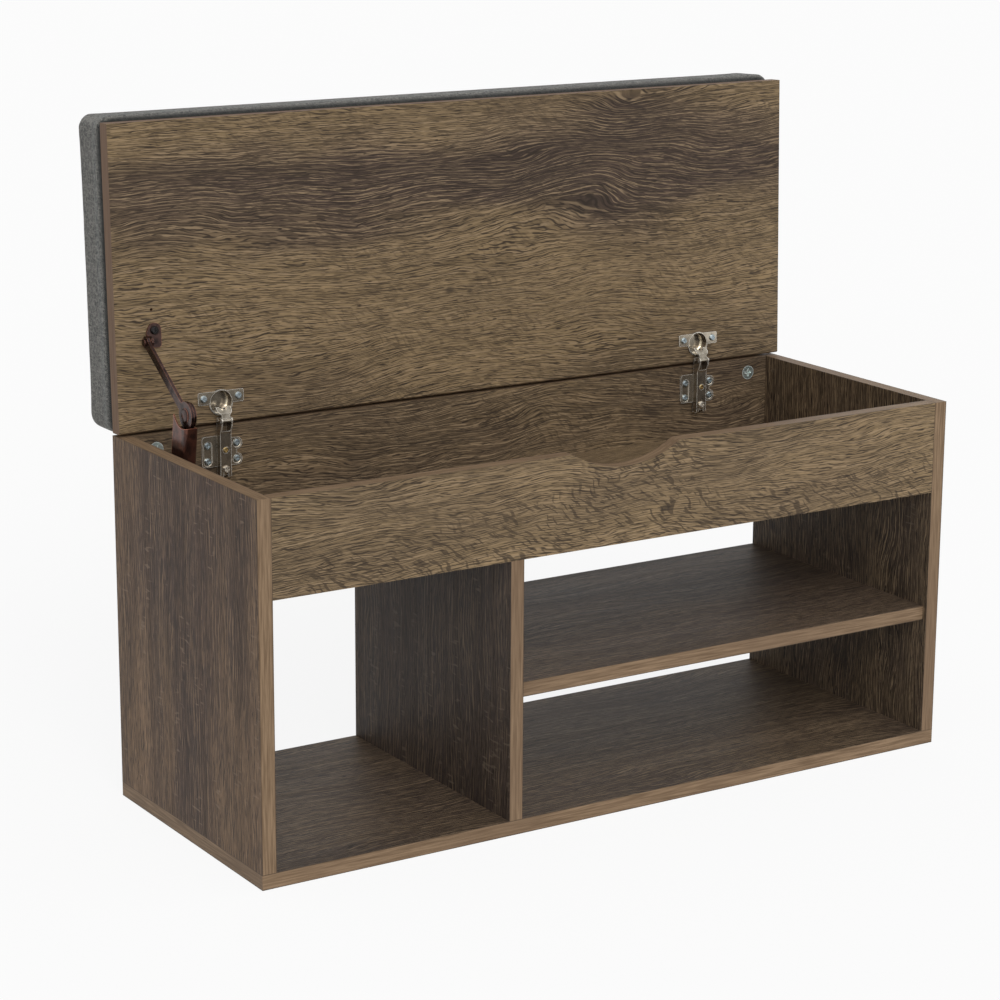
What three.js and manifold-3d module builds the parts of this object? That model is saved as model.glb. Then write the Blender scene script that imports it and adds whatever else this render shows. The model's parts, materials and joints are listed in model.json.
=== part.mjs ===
// Storage bench: a lift-up padded seat over a shallow box, with open shoe shelves below.
// Millimetres, +Z up, +X to the right, +Y to the rear. The origin is on the floor,
// under the centre of the carcass. The lid is modelled open, resting on its stop.
import * as THREE from 'three';
import { mergeVertices } from 'three/addons/utils/BufferGeometryUtils.js';
import Module from 'manifold-3d';

const wasm = await Module();
wasm.setup();

// Carcass
const width = 800;
const depth = 300;
const board = 15;
const sideTop = 370;
const boxHeight = 95; // apron, back rail and box
const dividerLeft = -131.5; // left face of the upright between the two bays
const shelfBottom = 136.5;
const shelfSetback = 5.5;
const notchHalfWidth = 62; // finger notch in the apron
const notchDepth = 18.5;
const notchShoulder = 10;

// Lid and its turning axis, measured on the shut lid
const lidGap = 2.7; // under the shut lid
const axisFromRear = 7.85;
const axisAboveUnderside = 7.9;
const openDegrees = 91.9;
const lidEdgeEase = 1.5; // eased lower rear edge
const airGap = 0.3; // between neighbouring pieces

// Cushion on the lid
const padGap = 1;
const padOverSide = 2;
const padOverRear = 5.5;
const padOverFront = 4;
const padThickness = 58;
const padCorner = 12;
const padUnderEase = 6;
const padUnderRise = 12;
const padOverEase = 5;
const coverThickness = 1.5;
const padBoard = 9; // thickness of the board in the cushion
const padBoardInset = 5;
const mouthInset = 14; // to the hem of the cover, under the board

// Concealed cup hinges
const hingeX = 290;
const cupFromRear = 20.5;
const cupRadius = 13;
const cupDepth = 11;
const cupWall = 1;
const flangeWidth = 50;
const flangeFrom = 19.5; // near edge of the flange, from the rear edge of the lid
const flangeHeight = 12.5;
const flangeThickness = 1.2;
const cupScrewSpacing = 38;
const cupScrewFromRear = 25.7;
const plateWidth = 45;
const plateLow = 329.5;
const plateHigh = 360.5;
const plateThickness = 2.4;
const lobeRadius = 6; // round the screws of one wing of the plate
const plateScrewHalfX = 16;
const plateScrewHeights = [335, 351];
const armHalfWidth = 6;
const armWall = 1.2;
const armFront = 125; // Y of the front of the arm
const armLow = 317.5;
const adjustScrewZ = 347;
const fixingScrewZ = 327.5;
const outerPin = { y: 123.5, z: 377 };
const innerPin = { y: 129.7, z: 377 };
const pinRadius = 1.2;
const linkEarHalf = 7.8;
const linkTipHalf = 3.5; // the ears narrow again towards their far end
const linkTipFrom = 129.2;
const linkTipTo = 136.6;
const linkSpreadFrom = 382.5; // the outer link widens between these heights
const linkSpreadTo = 387;
const linkSaddleRadius = 4.9;
const linkSaddleZ = 391.5;

// Lid stay on the left side panel
const stayArmX = -371;
const stayElbow = { y: 45.4, z: 406.4 };
const stayReach = { y: -13.2, z: 81.8 }; // lid axis to lid bracket, and stay pivot to elbow
const stayPlate = 3; // thickness of the arm and of the link
const housingHalfWidth = 7;
const housingWall = 1.2;
const housingFront = 13.5; // from the stay's line to the front of the housing
const housingCorner = 4;

// Cams that pull the apron and the back rail to the sides
const camRadius = 7.5;
const camThickness = 12;
const camFromSide = 24.5;
const camZ = 354;

const halfWidth = width / 2;
const halfDepth = depth / 2;
const inside = halfWidth - board; // X of the inner faces of the sides
const boxBottom = sideTop - boxHeight;
const boxFloorTop = boxBottom + board;
const railFace = halfDepth - board; // Y of the inner face of the back rail
const axisY = halfDepth - axisFromRear;
const axisZ = sideTop + lidGap + axisAboveUnderside;
const openAngle = THREE.MathUtils.degToRad(openDegrees);

const oak = new THREE.MeshStandardMaterial({ color: 0x5f5142, roughness: 0.62, metalness: 0 });
const linen = new THREE.MeshStandardMaterial({ color: 0x6a6a66, roughness: 0.95, metalness: 0 });
const foam = new THREE.MeshStandardMaterial({ color: 0xd9d2bd, roughness: 0.9, metalness: 0 });
const ply = new THREE.MeshStandardMaterial({ color: 0xb99a6b, roughness: 0.75, metalness: 0 });
const nickel = new THREE.MeshStandardMaterial({ color: 0xb0a898, roughness: 0.3, metalness: 1 });
const zinc = new THREE.MeshStandardMaterial({ color: 0xaab0b4, roughness: 0.35, metalness: 1 });
const bronze = new THREE.MeshStandardMaterial({ color: 0x5a3a2c, roughness: 0.35, metalness: 1 });
const blackSteel = new THREE.MeshStandardMaterial({ color: 0x1d1c1c, roughness: 0.45, metalness: 1 });

const bench = new THREE.Group();

// ---------- shapes ----------

function solid(geometry) {
  const bare = geometry.clone();
  bare.deleteAttribute('normal');
  bare.deleteAttribute('uv');
  const merged = mergeVertices(bare, 1e-4);
  const mesh = new wasm.Mesh({
    numProp: 3,
    vertProperties: new Float32Array(merged.attributes.position.array),
    triVerts: new Uint32Array(merged.index.array),
  });
  return new wasm.Manifold(mesh);
}

function toGeometry(manifold) {
  const mesh = manifold.getMesh();
  const geometry = new THREE.BufferGeometry();
  geometry.setAttribute('position', new THREE.BufferAttribute(mesh.vertProperties, 3));
  geometry.setIndex(new THREE.BufferAttribute(mesh.triVerts, 1));
  geometry.computeVertexNormals();
  return geometry;
}

function join(...geometries) {
  const [first, ...others] = geometries.map(solid);
  return toGeometry(others.reduce((sum, next) => sum.add(next), first));
}

function cut(geometry, ...tools) {
  return toGeometry(tools.map(solid).reduce((rest, tool) => rest.subtract(tool), solid(geometry)));
}

// A box from its low corner to its high corner.
function overlap(first, second) {
  return toGeometry(solid(first).intersect(solid(second)));
}

function block(low, high) {
  const size = high.map((value, i) => value - low[i]);
  const geometry = new THREE.BoxGeometry(...size);
  return geometry.translate(...low.map((value, i) => value + size[i] / 2));
}

// A cylinder between two heights along an axis, centred at a point given by the other two coordinates.
function rod(axis, radius, from, to, centre = [0, 0], segments = 20) {
  const geometry = new THREE.CylinderGeometry(radius, radius, to - from, segments);
  const middle = (from + to) / 2;
  if (axis === 'x') {
    return geometry.rotateZ(-Math.PI / 2).translate(middle, centre[0], centre[1]);
  }
  if (axis === 'y') {
    return geometry.translate(centre[0], middle, centre[1]);
  }
  return geometry.rotateX(Math.PI / 2).translate(centre[0], centre[1], middle);
}

// An outline in Y and Z, extruded along X.
function sideExtrusion(outline, fromX, toX) {
  const geometry = new THREE.ExtrudeGeometry(outline, {
    depth: toX - fromX,
    bevelEnabled: false,
    curveSegments: 6,
  });
  // The outline's plane is turned so that its x runs along Y and its y along Z.
  return geometry.rotateY(Math.PI / 2).rotateX(Math.PI / 2).translate(fromX, 0, 0);
}

function outlineOf(points) {
  return new THREE.Shape(points.map(([y, z]) => new THREE.Vector2(y, z)));
}

function roundedRectangle(lowX, lowY, highX, highY, radius) {
  const shape = new THREE.Shape();
  shape.moveTo(lowX + radius, lowY);
  shape.absarc(highX - radius, lowY + radius, radius, -Math.PI / 2, 0);
  shape.absarc(highX - radius, highY - radius, radius, 0, Math.PI / 2);
  shape.absarc(lowX + radius, highY - radius, radius, Math.PI / 2, Math.PI);
  shape.absarc(lowX + radius, lowY + radius, radius, Math.PI, Math.PI * 1.5);
  return shape;
}

function stadium(fromY, fromZ, toY, toZ, radius) {
  const angle = Math.atan2(toZ - fromZ, toY - fromY);
  const shape = new THREE.Shape();
  shape.absarc(toY, toZ, radius, angle - Math.PI / 2, angle + Math.PI / 2);
  shape.absarc(fromY, fromZ, radius, angle + Math.PI / 2, angle + Math.PI * 1.5);
  return shape;
}

// A pan head screw on the Z axis: its head's underside is at 0 and its point looks along -Z.
function screwGeometry({ headRadius, headHeight, shankRadius, length }) {
  const profile = [
    [0, -length],
    [shankRadius, -length + shankRadius * 2.2],
    [shankRadius, 0],
    [headRadius, 0],
    [headRadius, headHeight * 0.4],
    [headRadius * 0.75, headHeight],
    [0, headHeight],
  ].map(([radius, height]) => new THREE.Vector2(radius, height));
  const body = new THREE.LatheGeometry(profile, 12).rotateX(Math.PI / 2);
  const slotHalf = headRadius * 0.55;
  const slotWidth = headRadius * 0.13;
  const slotFloor = headHeight * 0.35;
  const across = block([-slotHalf, -slotWidth, slotFloor], [slotHalf, slotWidth, headHeight + 1]);
  const along = block([-slotWidth, -slotHalf, slotFloor], [slotWidth, slotHalf, headHeight + 1]);
  return cut(body, join(across, along));
}

function piece(name, geometry, material, parent = bench) {
  const mesh = new THREE.Mesh(geometry, material);
  mesh.name = name;
  parent.add(mesh);
  return mesh;
}

// ---------- carcass ----------

const plateScrew = { headRadius: 3.7, headHeight: 1.9, shankRadius: 1.7, length: 12.5 };
const cupScrew = { headRadius: 3.5, headHeight: 1.7, shankRadius: 1.6, length: 11 };
const staySideScrew = { headRadius: 3.6, headHeight: 1.8, shankRadius: 1.7, length: 12 };
const stayLidScrew = { headRadius: 4.3, headHeight: 2.2, shankRadius: 1.9, length: 11.5 };
const boltRadius = 2.6;
const boltThread = 3;
const boltThreadLength = 10;
const boltHead = 3.4;
const stayPivot = { y: stayElbow.y - stayReach.y, z: stayElbow.z - stayReach.z };
const staySideScrewSpots = [[86, 312], [86, 340]];
const sides = [{ name: 'left', sign: -1 }, { name: 'right', sign: 1 }];
const camPanels = [
  { name: 'front', y: -halfDepth + board / 2, face: -railFace, inward: 1 },
  { name: 'rear', y: halfDepth - board / 2, face: railFace, inward: -1 },
];

function hingeCentres() {
  return sides.map(({ sign }) => sign * hingeX);
}

// The bores and channels that the cams and their bolts need in the apron and in the rail.
function camBores({ y, face, inward }) {
  const deep = face - inward * (camThickness + 0.5);
  const [from, to] = [Math.min(face + inward, deep), Math.max(face + inward, deep)];
  return sides.flatMap(({ sign }) => {
    const camX = sign * (inside - camFromSide);
    const end = sign * (inside + 1);
    const channel = [Math.min(camX, end), Math.max(camX, end)];
    return [
      rod('y', camRadius + airGap, from, to, [camX, camZ]),
      rod('x', boltHead + airGap, channel[0], channel[1], [y, camZ], 16),
    ];
  });
}

function basePanel() {
  piece('base_panel', block([-halfWidth, -halfDepth, 0], [halfWidth, halfDepth, board]), oak);
}

function sidePanel({ name, sign }) {
  const [from, to] = [inside * sign, halfWidth * sign].sort((a, b) => a - b);
  const holeEnd = sign * (inside + boltThreadLength + 0.5);
  const span = [Math.min(holeEnd, sign * (inside - 1)), Math.max(holeEnd, sign * (inside - 1))];
  const holes = camPanels.map(({ y }) => rod('x', boltThread + airGap, span[0], span[1], [y, camZ], 16));
  if (name === 'left') {
    const screwEnd = -inside - staySideScrew.length + 2;
    for (const [y, z] of staySideScrewSpots) {
      holes.push(rod('x', staySideScrew.shankRadius + airGap, screwEnd - 0.5, -inside + 1, [y, z], 14));
    }
  }
  const panel = block([from, -halfDepth, board], [to, halfDepth, sideTop]);
  piece(`${name}_side_panel`, cut(panel, ...holes), oak);
}

function dividerPanel() {
  const low = [dividerLeft, -halfDepth, board];
  piece('divider_panel', block(low, [dividerLeft + board, halfDepth, boxBottom]), oak);
}

function shelfPanel() {
  const low = [dividerLeft + board, -halfDepth + shelfSetback, shelfBottom];
  piece('shelf_panel', block(low, [inside, halfDepth, shelfBottom + board]), oak);
}

function boxFloorPanel() {
  const low = [-inside, -railFace, boxBottom];
  piece('box_floor_panel', block(low, [inside, railFace, boxFloorTop]), oak);
}

// A round-bottomed notch whose two shoulders are eased into the top edge.
function apronOutline() {
  const radius = (notchHalfWidth ** 2 + notchDepth ** 2) / (2 * notchDepth);
  const centreZ = sideTop - notchDepth + radius;
  const shoulderZ = sideTop - notchShoulder;
  const shoulderX = Math.sqrt((radius + notchShoulder) ** 2 - (centreZ - shoulderZ) ** 2);
  const meet = Math.atan2(centreZ - shoulderZ, shoulderX);
  const shape = new THREE.Shape();
  shape.moveTo(-inside, boxBottom);
  shape.lineTo(inside, boxBottom);
  shape.lineTo(inside, sideTop);
  shape.absarc(shoulderX, shoulderZ, notchShoulder, Math.PI / 2, Math.PI - meet, false);
  shape.absarc(0, centreZ, radius, -meet, -Math.PI + meet, true);
  shape.absarc(-shoulderX, shoulderZ, notchShoulder, meet, Math.PI / 2, false);
  shape.lineTo(-inside, sideTop);
  return shape;
}

function apronPanel() {
  const plain = new THREE.ExtrudeGeometry(apronOutline(), {
    depth: board,
    bevelEnabled: false,
    curveSegments: 16,
  });
  // The outline is drawn in X and Z, so the extrusion is stood up and set at the front.
  const stood = plain.rotateX(Math.PI / 2).translate(0, -railFace, 0);
  piece('front_apron_panel', cut(stood, ...camBores(camPanels[0])), oak);
}

function backRailPanel() {
  const panel = block([-inside, railFace, boxBottom], [inside, halfDepth, sideTop]);
  const screwHoles = hingeCentres().flatMap((centre) => [-1, 1].flatMap((sign) => (
    plateScrewHeights.map((z) => rod(
      'y',
      plateScrew.shankRadius + airGap,
      railFace - 1,
      railFace + plateScrew.length - 0.5,
      [centre + sign * plateScrewHalfX, z],
      10,
    ))
  )));
  piece('back_rail_panel', cut(panel, ...camBores(camPanels[1]), ...screwHoles), oak);
}

// The cam is a drum with a pocket for the bolt's head and a cross recess in its open face.
function cam(panel, side) {
  const { y, face, inward } = panel;
  const camX = side.sign * (inside - camFromSide);
  const back = face - inward * camThickness;
  const [from, to] = [Math.min(face, back), Math.max(face, back)];
  const drum = rod('y', camRadius, from, to, [camX, camZ], 28);
  const pocketEnd = camX + side.sign * (camRadius + 1);
  const pocketStart = camX - side.sign * 2;
  const pocket = rod(
    'x',
    boltHead + airGap,
    Math.min(pocketStart, pocketEnd),
    Math.max(pocketStart, pocketEnd),
    [y, camZ],
    16,
  );
  const recessLow = Math.min(face + inward, face - inward * 2);
  const recessHigh = Math.max(face + inward, face - inward * 2);
  const across = block([camX - 4, recessLow, camZ - 0.9], [camX + 4, recessHigh, camZ + 0.9]);
  const along = block([camX - 0.9, recessLow, camZ - 4], [camX + 0.9, recessHigh, camZ + 4]);
  piece(`cam_${panel.name}_${side.name}`, cut(drum, pocket, join(across, along)), zinc);
}

// The bolt is screwed into the side panel, and its head sits in the cam.
function camBolt(panel, side) {
  const headEnd = camFromSide - 0.5;
  const profile = [
    [0, -boltThreadLength],
    [boltThread, -boltThreadLength + 1],
    [boltThread, -airGap],
    [boltRadius, 0],
    [boltRadius - 0.6, headEnd - 5],
    [boltHead, headEnd - 3.4],
    [boltHead, headEnd - 0.8],
    [0, headEnd],
  ].map(([radius, height]) => new THREE.Vector2(radius, height));
  const bolt = new THREE.LatheGeometry(profile, 12).rotateZ((side.sign * Math.PI) / 2);
  bolt.translate(side.sign * inside, panel.y, camZ);
  piece(`cam_bolt_${panel.name}_${side.name}`, toGeometry(solid(bolt)), zinc);
}

function carcass() {
  basePanel();
  sides.forEach(sidePanel);
  dividerPanel();
  shelfPanel();
  boxFloorPanel();
  apronPanel();
  backRailPanel();
  for (const panel of camPanels) {
    for (const side of sides) {
      cam(panel, side);
      camBolt(panel, side);
    }
  }
}

// ---------- lid ----------

// The lid's pieces are drawn shut, measured from its axis, and the group turns them open.
const lid = new THREE.Group();
lid.position.set(0, axisY, axisZ);
lid.rotation.x = -openAngle;
bench.add(lid);

const underside = -axisAboveUnderside;
const rearEdge = axisFromRear;

function fromRear(distance) {
  return rearEdge - distance;
}

function lidBoard() {
  const top = underside + board;
  const front = fromRear(depth);
  const outline = outlineOf([
    [front, underside],
    [rearEdge - lidEdgeEase, underside],
    [rearEdge, underside + lidEdgeEase],
    [rearEdge, top],
    [front, top],
  ]);
  const boreTop = underside + cupDepth + airGap;
  const holes = hingeCentres().flatMap((centre) => [
    rod('z', cupRadius + airGap, underside - 1, boreTop, [centre, fromRear(cupFromRear)], 32),
    ...[-1, 1].map((sign) => rod(
      'z',
      cupScrew.shankRadius + airGap,
      underside - 1,
      underside + cupScrew.length - 0.5,
      [centre + (sign * cupScrewSpacing) / 2, fromRear(cupScrewFromRear)],
      10,
    )),
  ]);
  const [screwX, screwFromRear] = stayScrewSpot;
  const stayHole = { x: screwX, y: fromRear(screwFromRear), radius: stayLidScrew.shankRadius + airGap };
  const spareHole = { x: screwX - 1.5, y: fromRear(screwFromRear + 20), radius: 1.5 };
  for (const { x, y, radius } of [stayHole, spareHole]) {
    holes.push(rod('z', radius, underside - 1, underside + stayLidScrew.length, [x, y], 14));
  }
  piece('lid_board', cut(sideExtrusion(outline, -halfWidth, halfWidth), ...holes), oak, lid);
}

// A pad with round corners in plan, with a tall curve under its rim and a tight one over it.
function padBody(inset, low, high) {
  const outline = roundedRectangle(
    -halfWidth - padOverSide + inset,
    fromRear(depth + padOverFront) + inset,
    halfWidth + padOverSide - inset,
    rearEdge + padOverRear - inset,
    padCorner - inset,
  );
  const middle = (low + high) / 2;
  const slab = (ease, rise, from, to) => new THREE.ExtrudeGeometry(outline, {
    depth: to - from - rise * 2,
    bevelEnabled: true,
    bevelSize: ease,
    bevelOffset: -ease,
    bevelThickness: rise,
    bevelSegments: 2,
    curveSegments: 3,
  }).translate(0, 0, from + rise);
  return join(
    slab(padUnderEase - inset, padUnderRise - inset, low, middle + padUnderRise),
    slab(padOverEase - inset, padOverEase - inset, middle - padUnderRise, high),
  );
}

function cushion() {
  const low = underside + board + padGap;
  const high = low + padThickness;
  const outer = padBody(0, low, high);
  const hollow = padBody(coverThickness, low + coverThickness, high - coverThickness);
  const mouth = block(
    [-halfWidth + mouthInset, fromRear(depth) + mouthInset, low - 1],
    [halfWidth - mouthInset, rearEdge - mouthInset, low + coverThickness + 1],
  );
  piece('cushion_cover', cut(outer, join(hollow, mouth)), linen, lid);
  const boardLow = low + coverThickness + airGap;
  const boardTop = boardLow + padBoard;
  const padBase = block(
    [-halfWidth + padBoardInset, fromRear(depth) + padBoardInset, boardLow],
    [halfWidth - padBoardInset, rearEdge - padBoardInset, boardTop],
  );
  piece('cushion_base_board', padBase, ply, lid);
  const skin = coverThickness + airGap;
  const rim = padBody(skin, low + skin, high - skin);
  const below = block([-width, -width, low - 1], [width, width, boardTop + airGap]);
  piece('cushion_foam', cut(rim, below), foam, lid);
}

// ---------- hinges ----------

function hingeCup({ name, sign }) {
  const centre = sign * hingeX;
  const cupY = fromRear(cupFromRear);
  const drum = rod('z', cupRadius, underside - flangeThickness, underside + cupDepth, [centre, cupY], 32);
  const flangeShape = roundedRectangle(
    centre - flangeWidth / 2,
    fromRear(flangeFrom + flangeHeight),
    centre + flangeWidth / 2,
    fromRear(flangeFrom),
    1.5,
  );
  const flange = new THREE.ExtrudeGeometry(flangeShape, {
    depth: flangeThickness - airGap,
    bevelEnabled: false,
    curveSegments: 3,
  }).translate(0, 0, underside - flangeThickness);
  const hollow = rod(
    'z',
    cupRadius - cupWall,
    underside - flangeThickness - 1,
    underside + cupDepth - cupWall,
    [centre, cupY],
    28,
  );
  const holes = [-1, 1].map((side) => rod(
    'z',
    cupScrew.shankRadius + airGap,
    underside - flangeThickness - 1,
    underside + 1,
    [centre + (side * cupScrewSpacing) / 2, fromRear(cupScrewFromRear)],
    10,
  ));
  piece(`hinge_cup_${name}`, cut(join(drum, flange), hollow, ...holes), nickel, lid);
  for (const [place, side] of [['outer', sign], ['inner', -sign]]) {
    const geometry = screwGeometry(cupScrew).rotateX(Math.PI);
    geometry.translate(
      centre + (side * cupScrewSpacing) / 2,
      fromRear(cupScrewFromRear),
      underside - flangeThickness - airGap,
    );
    piece(`cup_screw_${name}_${place}`, geometry, zinc, lid);
  }
}

// The plate is screwed to the rail, and its raised middle carries the arm.
function hingePlate({ name, sign }) {
  const centre = sign * hingeX;
  const plateFace = railFace - plateThickness;
  const plateDepth = { depth: plateThickness, bevelEnabled: false, curveSegments: 4 };
  const wing = new THREE.ExtrudeGeometry(
    roundedRectangle(centre - plateWidth / 2, plateLow, centre + armHalfWidth + 2, plateHigh, 3.5),
    plateDepth,
  ).rotateX(Math.PI / 2).translate(0, railFace, 0);
  const lobes = plateScrewHeights.map((z) => (
    rod('y', lobeRadius, plateFace, railFace, [centre + plateScrewHalfX, z], 24)
  ));
  const web = block(
    [centre, plateFace, plateScrewHeights[0] - lobeRadius],
    [centre + plateScrewHalfX, railFace, plateScrewHeights[1] + lobeRadius],
  );
  const humpHalf = armHalfWidth - armWall - airGap;
  const hump = block(
    [centre - humpHalf, armFront + armWall + airGap * 2, armLow + 4],
    [centre + humpHalf, plateFace + 0.5, plateHigh + 3],
  );
  const tools = [fixingScrewZ, adjustScrewZ].map((z) => (
    rod('y', 2.1 + airGap, armFront, plateFace + 1, [centre, z], 14)
  ));
  const slotRadius = plateScrew.headRadius + 0.8;
  const slot = new THREE.ExtrudeGeometry(
    stadiumXZ(centre - plateScrewHalfX, plateScrewHeights, slotRadius),
    { depth: 1.4, bevelEnabled: false, curveSegments: 5 },
  ).rotateX(Math.PI / 2).translate(0, plateFace + 1.1, 0);
  tools.push(slot);
  for (const z of plateScrewHeights) {
    for (const side of [-1, 1]) {
      const x = centre + side * plateScrewHalfX;
      tools.push(rod('y', plateScrew.shankRadius + airGap, plateFace - 1, railFace + 1, [x, z], 14));
    }
    const seat = [centre + plateScrewHalfX, z];
    tools.push(rod('y', slotRadius, plateFace - 0.3, plateFace + 1.1, seat, 22));
  }
  piece(`hinge_plate_${name}`, cut(join(wing, web, ...lobes, hump), ...tools), nickel);
  for (const [place, side] of [['outer', sign], ['inner', -sign]]) {
    plateScrewHeights.forEach((z, level) => {
      const geometry = screwGeometry(plateScrew).rotateX(Math.PI / 2);
      geometry.translate(centre + side * plateScrewHalfX, plateFace + 1.1 - airGap, z);
      piece(`plate_screw_${name}_${place}_${level === 0 ? 'low' : 'high'}`, geometry, zinc);
    });
  }
}

function stadiumXZ(x, [low, high], radius) {
  return stadium(x, low, x, high, radius);
}

// The arm is a channel, open towards the rail, whose two cheeks carry the link pins.
function hingeArm({ name, sign }) {
  const centre = sign * hingeX;
  const tipRadius = 3.1;
  const cheekRear = railFace - plateThickness - airGap;
  const cheek = new THREE.Shape();
  cheek.moveTo(cheekRear, armLow + 1);
  cheek.lineTo(cheekRear, 366);
  cheek.lineTo(innerPin.y + tipRadius - 0.6, 372);
  cheek.absarc(innerPin.y, innerPin.z, tipRadius - 0.6, 0, Math.PI / 2);
  cheek.absarc(outerPin.y, outerPin.z, tipRadius, Math.PI / 2, Math.PI);
  cheek.lineTo(armFront - 3.4, 371);
  cheek.lineTo(armFront, 364);
  cheek.lineTo(armFront, armLow + 3);
  cheek.lineTo(armFront + 2, armLow + 1);
  const whole = sideExtrusion(cheek, centre - armHalfWidth, centre + armHalfWidth);
  const innerHalf = armHalfWidth - armWall;
  const channel = block(
    [centre - innerHalf, armFront + armWall, armLow - 1],
    [centre + innerHalf, cheekRear + 1, 366.5],
  );
  const mouth = block([centre - innerHalf, armFront - 8, 366], [centre + innerHalf, cheekRear + 1, 384]);
  const pinHoles = [outerPin, innerPin].map(({ y, z }) => (
    rod('x', pinRadius + 0.3, centre - armHalfWidth - 1, centre + armHalfWidth + 1, [y, z], 16)
  ));
  const adjustHole = rod('y', 3.3, armFront - 1, armFront + armWall + 1, [centre, adjustScrewZ], 18);
  const slotHalf = 2.6;
  const fork = join(
    rod('y', slotHalf, armFront - 1, armFront + armWall + 1, [centre, fixingScrewZ], 16),
    block(
      [centre - slotHalf, armFront - 1, armLow - 1],
      [centre + slotHalf, armFront + armWall + 1, fixingScrewZ],
    ),
  );
  piece(`hinge_arm_${name}`, cut(whole, join(channel, mouth), ...pinHoles, adjustHole, fork), nickel);

  const adjust = screwGeometry({ headRadius: 3, headHeight: 1.6, shankRadius: 2.1, length: 5 });
  adjust.rotateX(Math.PI / 2).translate(centre, armFront + 1, adjustScrewZ);
  piece(`hinge_adjusting_screw_${name}`, adjust, zinc);
  const fixing = screwGeometry({ headRadius: 3.9, headHeight: 2.2, shankRadius: 2.1, length: 6.5 });
  fixing.rotateX(Math.PI / 2).translate(centre, armFront - airGap, fixingScrewZ);
  piece(`hinge_fixing_screw_${name}`, fixing, zinc);
}

// A strip of even thickness that follows a line of points in Y and Z.
function strip(points, thickness, fromX, toX) {
  const line = points.map(([y, z]) => new THREE.Vector2(y, z));
  const offset = (side) => line.map((point, i) => {
    const before = line[Math.max(i - 1, 0)];
    const after = line[Math.min(i + 1, line.length - 1)];
    const run = after.clone().sub(before).normalize();
    return new THREE.Vector2(-run.y, run.x).multiplyScalar((side * thickness) / 2).add(point);
  });
  const outline = new THREE.Shape([...offset(1), ...offset(-1).reverse()]);
  return sideExtrusion(outline, fromX, toX);
}

// The outer link spreads above the arm into two ears, which arch over the rim of the cup.
function outerLink({ name, sign }) {
  const centre = sign * hingeX;
  const half = armHalfWidth - armWall - airGap;
  const arch = strip(
    [[outerPin.y, outerPin.z], [124.3, 384], [130.3, 389.3], [134.9, 388.2], [135.3, 385.6]],
    1.3,
    centre - linkEarHalf,
    centre + linkEarHalf,
  );
  const trims = [-1, 1].map((side) => {
    const flank = new THREE.Shape();
    flank.moveTo(side * half, linkSpreadFrom);
    flank.lineTo(side * (linkEarHalf + 0.5), linkSpreadTo);
    flank.lineTo(side * (linkEarHalf + 3), linkSpreadTo);
    flank.lineTo(side * (linkEarHalf + 3), outerPin.z - 4);
    flank.lineTo(side * half, outerPin.z - 4);
    const flankDepth = { depth: 30, bevelEnabled: false };
    return new THREE.ExtrudeGeometry(flank, flankDepth).rotateX(Math.PI / 2).translate(centre, 145, 0);
  });
  const corners = [-1, 1].map((side) => {
    const wedge = new THREE.Shape();
    wedge.moveTo(side * linkTipHalf, linkTipTo);
    wedge.lineTo(side * (linkEarHalf + 0.5), linkTipFrom);
    wedge.lineTo(side * (linkEarHalf + 4), linkTipFrom);
    wedge.lineTo(side * (linkEarHalf + 4), linkTipTo);
    return new THREE.ExtrudeGeometry(wedge, { depth: 30, bevelEnabled: false }).translate(centre, 0, 370);
  });
  const saddle = rod('y', linkSaddleRadius, 115, 145, [centre, linkSaddleZ], 28);
  const above = block([centre - linkSaddleRadius, 115, linkSaddleZ], [centre + linkSaddleRadius, 145, 400]);
  const fork = block([centre - 2.5, 131.6, 380], [centre + 2.5, 140, 394]);
  const eye = rod('x', 2.1, centre - half, centre + half, [outerPin.y, outerPin.z], 16);
  const pinHalf = armHalfWidth + 0.3;
  const pin = rod('x', pinRadius, centre - pinHalf, centre + pinHalf, [outerPin.y, outerPin.z], 12);
  const body = cut(arch, ...trims, ...corners, saddle, above, fork);
  piece(`hinge_outer_link_${name}`, join(body, eye, pin), nickel);
}

function innerLink({ name, sign }) {
  const centre = sign * hingeX;
  const half = 2;
  const strap = strip(
    [[innerPin.y, innerPin.z], [130.4, 382], [132.8, 384.6], [135.3, 384.2]],
    1.3,
    centre - half,
    centre + half,
  );
  const eye = rod('x', 2, centre - half, centre + half, [innerPin.y, innerPin.z], 16);
  const pinHalf = armHalfWidth + 0.3;
  const pin = rod('x', pinRadius, centre - pinHalf, centre + pinHalf, [innerPin.y, innerPin.z], 12);
  piece(`hinge_inner_link_${name}`, join(strap, eye, pin), nickel);
}

function hinges() {
  for (const side of sides) {
    hingeCup(side);
    hingePlate(side);
    hingeArm(side);
    outerLink(side);
    innerLink(side);
  }
}

// ---------- lid stay ----------

const stayScrewSpot = [-359.5, 99.3]; // X, and distance from the rear edge of the lid
const bracketPinFromRear = 89.2;
const bracketPinDrop = 8; // below the underside of the lid
const bracketPinRadius = 2.2;
const lugRight = stayArmX + stayPlate / 2 + 3.6;
const lugLeft = lugRight - 2;
const footRound = 7.2; // radius of the foot round its screw
const stayEyeRadius = 6;
const elbowRadius = 13.5;
const studRadius = 3;

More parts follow.
